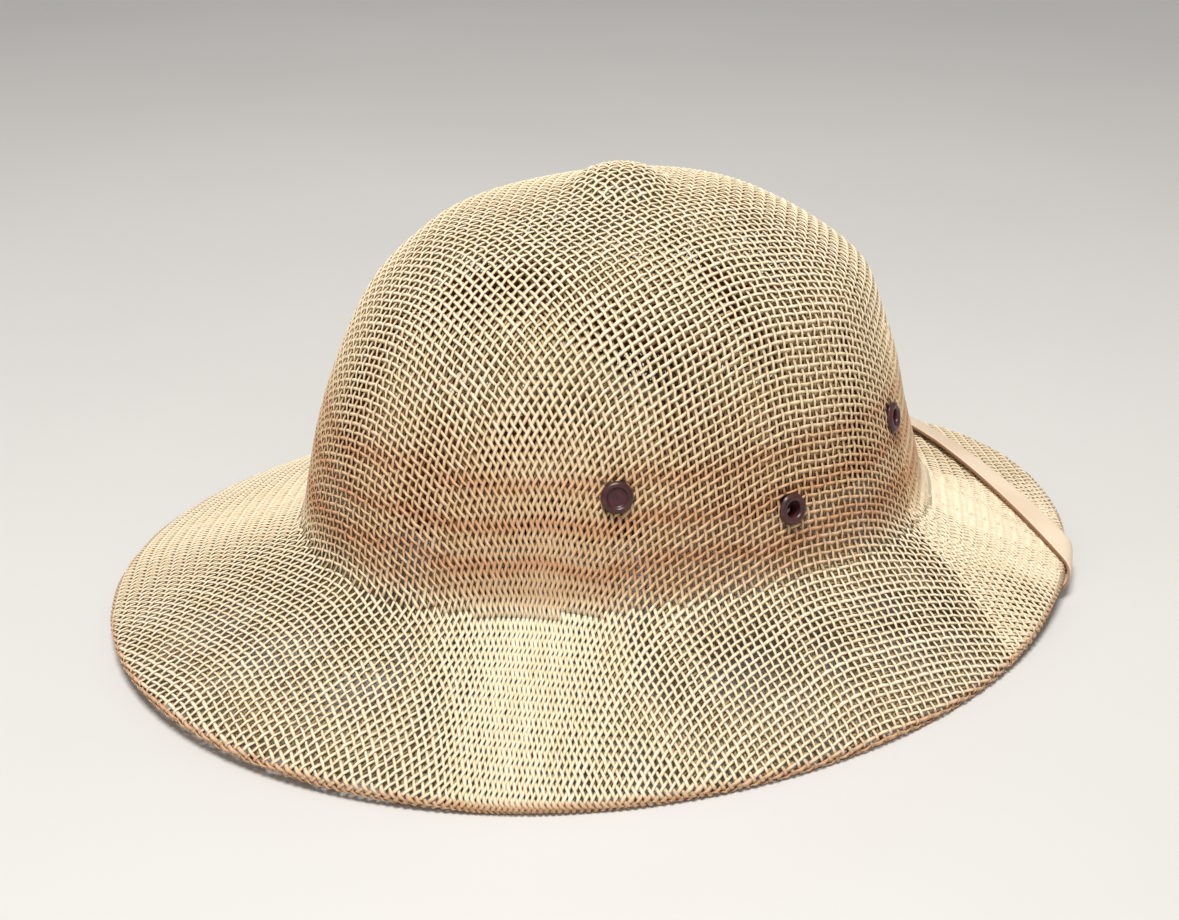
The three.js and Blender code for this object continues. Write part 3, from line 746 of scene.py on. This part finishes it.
def add_strap(material):
    steps, fold_rows, top_rows = 6, 60, 40
    shares = np.sort(np.append(np.linspace(-0.5, 0.5, 13), (-0.47, 0.47)))
    offsets = shares * STRAP_WIDTH
    advance, beneath = strap_fold()
    fibres = [strap_fibre(offset, advance, beneath) for offset in offsets]
    first, last = fibres[0][1], fibres[-1][2]
    over_brim = np.linspace(0, first, top_rows, endpoint=False)
    distances = np.append(over_brim, np.linspace(first, last, fold_rows))
    rows = np.stack([at(distances) for at, _, _ in fibres], 1)
    centre = len(offsets) // 2
    across = rows[-1, -1] - rows[-1, 0]
    stations = [(rows[-1, centre], unit(np.cross(beneath, across)))] + strap_stations(rows[-1, centre])
    path = centripetal(np.array([s[0] for s in stations]), steps)
    looks = centripetal(np.array([s[1] for s in stations]), steps)
    sideways = unit(np.cross(looks, unit(np.gradient(path, axis=0))))
    under = path[1:, None] + sideways[1:, None] * offsets[None, :, None]
    half = np.concatenate([rows, under])
    fold_end = top_rows + fold_rows
    half[:fold_end + 1] = smoothed(half[:fold_end + 1])
    middle = np.concatenate([half[:0:-1] * [-1, 1, 1], half])
    along = np.gradient(middle, axis=0)
    face = unit(np.cross(along, np.gradient(middle, axis=1)))
    # The two side edges, which the material paints dark brown as cut leather, with painted shadow added
    edge = np.isclose(np.abs(shares), 0.5).astype(float)
    half_wall = STRAP_WALL / 2 - edge * STRAP_BEVEL
    upper = middle + face * half_wall[None, :, None]
    lower = middle - face * half_wall[None, :, None]
    points = np.concatenate([lower, upper[:, ::-1]], 1)
    count, around = points.shape[:2]
    caps = np.stack([np.arange(around)[::-1], (count - 1) * around + np.arange(around)])
    values = {"edge": np.tile(np.concatenate([edge, edge]), count)}
    piece = add_mesh("chin_strap_band", points.reshape(-1, 3), ring_quads(count, around), caps, values)
    finish_piece(piece, material, "strap_leather", "chin_strap")


# Materials

def linear(red, green, blue):
    """A colour given as a screen shows it, from 0 to 255, in Blender's linear values."""
    values = [v / 255 for v in (red, green, blue)]
    return tuple(v / 12.92 if v <= 0.04045 else ((v + 0.055) / 1.055) ** 2.4 for v in values) + (1,)


class Shader:
    """A new material with its main shader, and short calls for the nodes that feed it."""

    def __init__(self, name, **sockets):
        self.material = bpy.data.materials.new(name)
        self.material.use_nodes = True
        self.nodes = self.material.node_tree.nodes
        self.links = self.material.node_tree.links
        self.main = self.nodes["Principled BSDF"]
        self.coordinates = self.nodes.new("ShaderNodeTexCoord").outputs["Object"]
        for socket, value in sockets.items():
            self.main.inputs[socket.replace("_", " ")].default_value = value

    def link(self, value, socket):
        if hasattr(value, "links"):
            self.links.new(value, socket)
        else:
            socket.default_value = value

    def noise(self, scale, detail=3, roughness=0.5):
        node = self.nodes.new("ShaderNodeTexNoise")
        self.link(self.coordinates, node.inputs["Vector"])
        node.inputs["Scale"].default_value = scale
        node.inputs["Detail"].default_value = detail
        node.inputs["Roughness"].default_value = roughness
        return node.outputs["Fac"]

    def height(self, low, high):
        """0 to 1 between two heights in metres."""
        split = self.nodes.new("ShaderNodeSeparateXYZ")
        self.link(self.coordinates, split.inputs["Vector"])
        node = self.nodes.new("ShaderNodeMapRange")
        node.inputs["From Min"].default_value = low
        node.inputs["From Max"].default_value = high
        self.link(split.outputs["Z"], node.inputs["Value"])
        return node.outputs["Result"]

    def bands(self, scale, distortion):
        """Level bands, a little wavy."""
        node = self.nodes.new("ShaderNodeTexWave")
        node.bands_direction = "Z"
        self.link(self.coordinates, node.inputs["Vector"])
        node.inputs["Scale"].default_value = scale
        node.inputs["Distortion"].default_value = distortion
        node.inputs["Detail"].default_value = 2
        node.inputs["Detail Scale"].default_value = 1.5
        return node.outputs["Fac"]

    def value(self, name):
        node = self.nodes.new("ShaderNodeAttribute")
        node.attribute_name = name
        return node.outputs["Fac"]

    def ramp(self, factor, *stops):
        """A colour ramp through pairs of place and colour."""
        node = self.nodes.new("ShaderNodeValToRGB")
        elements = node.color_ramp.elements
        while len(elements) < len(stops):
            elements.new(0.5)
        for element, (place, colour) in zip(elements, stops):
            element.position = place
            element.color = colour
        self.link(factor, node.inputs["Fac"])
        return node.outputs["Color"]

    def mix(self, factor, a, b, blend="MIX"):
        node = self.nodes.new("ShaderNodeMix")
        node.data_type = "RGBA"
        node.blend_type = blend
        self.link(factor, node.inputs[0])
        self.link(a, node.inputs[6])
        self.link(b, node.inputs[7])
        return node.outputs[2]

    def spread(self, value, low, high):
        node = self.nodes.new("ShaderNodeMapRange")
        node.inputs["To Min"].default_value = low
        node.inputs["To Max"].default_value = high
        self.link(value, node.inputs["Value"])
        return node.outputs["Result"]

    def bump(self, height, strength, distance):
        node = self.nodes.new("ShaderNodeBump")
        node.inputs["Strength"].default_value = strength
        node.inputs["Distance"].default_value = distance
        self.link(height, node.inputs["Height"])
        self.links.new(node.outputs["Normal"], self.main.inputs["Normal"])

    def colour(self, value):
        self.link(value, self.main.inputs["Base Color"])

    def rough(self, value):
        self.link(value, self.main.inputs["Roughness"])


def straw(name, stops, warm, shade=None):
    """Pale twisted paper straw, with painted shade low on each thread and between threads, a painted
    highlight on each thread's top, random patches, painted shade on the rolled rim, and, where shade is
    given, painted shade and painted reflected light on the low crown.
    """
    shader = Shader(name, Specular_IOR_Level=0.3, Sheen_Weight=0.08)
    # Painted shade low on each thread and between threads, and a painted highlight on its top, from the
    # height on the thread
    along = shader.ramp(shader.value("level"), *stops)
    patches = shader.spread(shader.noise(28, 4), 0.0, 0.4)
    toned = shader.mix(shader.spread(shader.value("tone"), 0.0, 0.35), along, warm, "MULTIPLY")
    colour = shader.mix(patches, toned, warm, "MULTIPLY")
    # Painted shade on the rolled rim, pinkish brown where the mesh turns under
    rim = shader.ramp(shader.value("edge"), (0.3, (1, 1, 1, 1)), (1.0, linear(228, 198, 180)))
    colour = shader.mix(1, colour, rim, "MULTIPLY")
    # Painted shade low on the crown from the shade ramp, with red-brown streaks of painted reflected light on
    # the low wall
    if shade:
        height = shader.height(0.03, 0.12)
        low = shader.ramp(height, *shade)
        colour = shader.mix(1, colour, low, "MULTIPLY")
        bounce_streaks = shader.ramp(shader.bands(24, 3.5), (0.45, (0, 0, 0, 1)), (0.95, (1, 1, 1, 1)))
        none, most = (0, 0, 0, 1), (0.6, 0.6, 0.6, 1)
        where = shader.ramp(height, (0.06, none), (0.12, most), (0.42, most), (0.62, none))
        painted_bounce_tint = shader.mix(bounce_streaks, (1, 1, 1, 1), (0.86, 0.6, 0.5, 1))
        colour = shader.mix(where, colour, shader.mix(1, colour, painted_bounce_tint, "MULTIPLY"))
    shader.colour(colour)
    fibre = shader.noise(2600, 3, 0.7)
    shader.rough(shader.spread(fibre, 0.5, 0.85))
    shader.bump(fibre, 0.35, 0.0002)
    return shader.material


def straw_materials():
    """A straw for each layer and region. The inner layer is pale towards the head and has painted shade
    outwards, and its crown copy is painted lighter than its brim copy.
    """
    # Outer layer: painted shade at the bottom of each thread, painted highlight at its top
    outer = ((0.0, linear(126, 100, 62)), (0.42, linear(210, 190, 154)), (0.85, linear(246, 236, 214)))
    # Inner layer: painted shade on the outward side, darker on the brim and lighter on the crown as painted
    # light
    inner = ((0.1, linear(220, 200, 164)), (0.5, linear(172, 148, 108)), (0.9, linear(182, 160, 120)))
    inner_crown = ((0.1, linear(226, 208, 174)), (0.5, linear(190, 168, 130)), (0.9, linear(202, 182, 144)))
    warm = linear(238, 220, 186)
    # Painted shade low on the crown, tinted warm, from just above the crease to about the wall's middle
    shade = ((0.04, linear(254, 250, 246)), (0.1, linear(228, 206, 190)), (0.42, linear(236, 217, 200)),
             (0.64, linear(253, 249, 243)), (1.0, linear(255, 255, 255)))
    return {
        ("outer", "crown"): straw("straw_outer_crown", outer, warm, shade),
        ("outer", "brim"): straw("straw_outer_brim", outer, warm),
        ("inner", "crown"): straw("straw_inner_crown", inner_crown, warm, shade),
        ("inner", "brim"): straw("straw_inner_brim", inner, warm),
    }


def vinyl():
    shader = Shader("headband_vinyl", Specular_IOR_Level=0.4)
    tone = shader.noise(40, 4)
    shader.colour(shader.ramp(tone, (0.3, linear(118, 56, 36)), (0.7, linear(150, 80, 52))))
    grain = shader.noise(900, 4, 0.6)
    shader.rough(shader.spread(grain, 0.42, 0.68))
    shader.bump(grain, 0.3, 0.0003)
    return shader.material


def strap_leather():
    shader = Shader("strap_leather", Specular_IOR_Level=0.4)
    tone = shader.noise(60, 5)
    skin = shader.ramp(tone, (0.3, linear(226, 202, 174)), (0.7, linear(238, 218, 192)))
    # Both side edges: dark brown cut leather edges, darkened further as painted shadow along the strap's edge
    edge = shader.ramp(shader.value("edge"), (0.35, (0, 0, 0, 1)), (0.9, (1, 1, 1, 1)))
    shader.colour(shader.mix(edge, skin, linear(150, 108, 80)))
    grain = shader.noise(1500, 4, 0.6)
    shader.rough(shader.spread(grain, 0.38, 0.6))
    shader.bump(grain, 0.15, 0.0002)
    return shader.material


def fastener_plastic():
    shader = Shader("fastener_plastic", Specular_IOR_Level=0.5)
    tone = shader.noise(350, 4)
    shader.colour(shader.ramp(tone, (0.3, linear(56, 27, 29)), (0.7, linear(80, 42, 43))))
    scuff = shader.noise(1100, 5, 0.65)
    shader.rough(shader.spread(scuff, 0.22, 0.42))
    shader.bump(scuff, 0.2, 0.0002)
    return shader.material


def floor_material():
    shader = Shader("floor", Roughness=0.6)
    shader.colour(shader.ramp(shader.noise(3, 4), (0.2, linear(206, 204, 201)), (0.8, linear(214, 212, 209))))
    return shader.material


# Stage

def point_at(aim, place, item):
    """Put a lamp or camera in its place, turned to what it aims at."""
    item.location = place
    item.rotation_euler = (aim - Vector(place)).to_track_quat("-Z", "Y").to_euler()
    bpy.context.scene.collection.objects.link(item)


def add_stage():
    corners = [(-1, -1, 0), (1, -1, 0), (1, 1, 0), (-1, 1, 0)]
    floor = add_mesh("floor", np.array(corners) * FLOOR_REACH, [(0, 1, 2, 3)])
    floor.data.materials.append(floor_material())
    world = bpy.data.worlds.new("studio")
    bpy.context.scene.world = world
    world.use_nodes = True
    background = world.node_tree.nodes["Background"]
    background.inputs["Color"].default_value = (*LIGHT_COLOUR, 1)
    background.inputs["Strength"].default_value = WORLD_STRENGTH
    for row in LAMPS:
        light = bpy.data.lights.new(row["name"], "AREA")
        light.shape = "DISK"
        light.size = row["size"]
        light.energy = row["power"]
        light.color = LIGHT_COLOUR
        point_at(LAMP_AIM, row["place"], bpy.data.objects.new(row["name"], light))


def add_camera():
    data = bpy.data.cameras.new("camera")
    data.sensor_width = SENSOR_WIDTH
    data.lens = FOCAL_PIXELS / PHOTO_WIDTH * SENSOR_WIDTH
    data.clip_start = 0.01
    camera = bpy.data.objects.new("camera", data)
    point_at(CAMERA_AIM, CAMERA_PLACE, camera)
    bpy.context.scene.camera = camera


def main():
    add_camera()
    add_stage()
    seats = []
    plastic = fastener_plastic()
    for side, word in ((-1, "right"), (1, "left")):
        for kind, name, spot in (
            (add_rivet, "rivet", RIVET),
            (add_eyelet, "vent_eyelet_front", FRONT_EYELET),
            (add_eyelet, "vent_eyelet_side", SIDE_EYELET),
        ):
            seat = seat_of(spot, side)
            seats.append(seat)
            kind(f"{name}_{word}", seat, plastic)
    add_weave(seats, straw_materials())
    add_headband(vinyl())
    add_strap(strap_leather())
    bpy.context.scene.view_settings.view_transform = "Standard"


main()
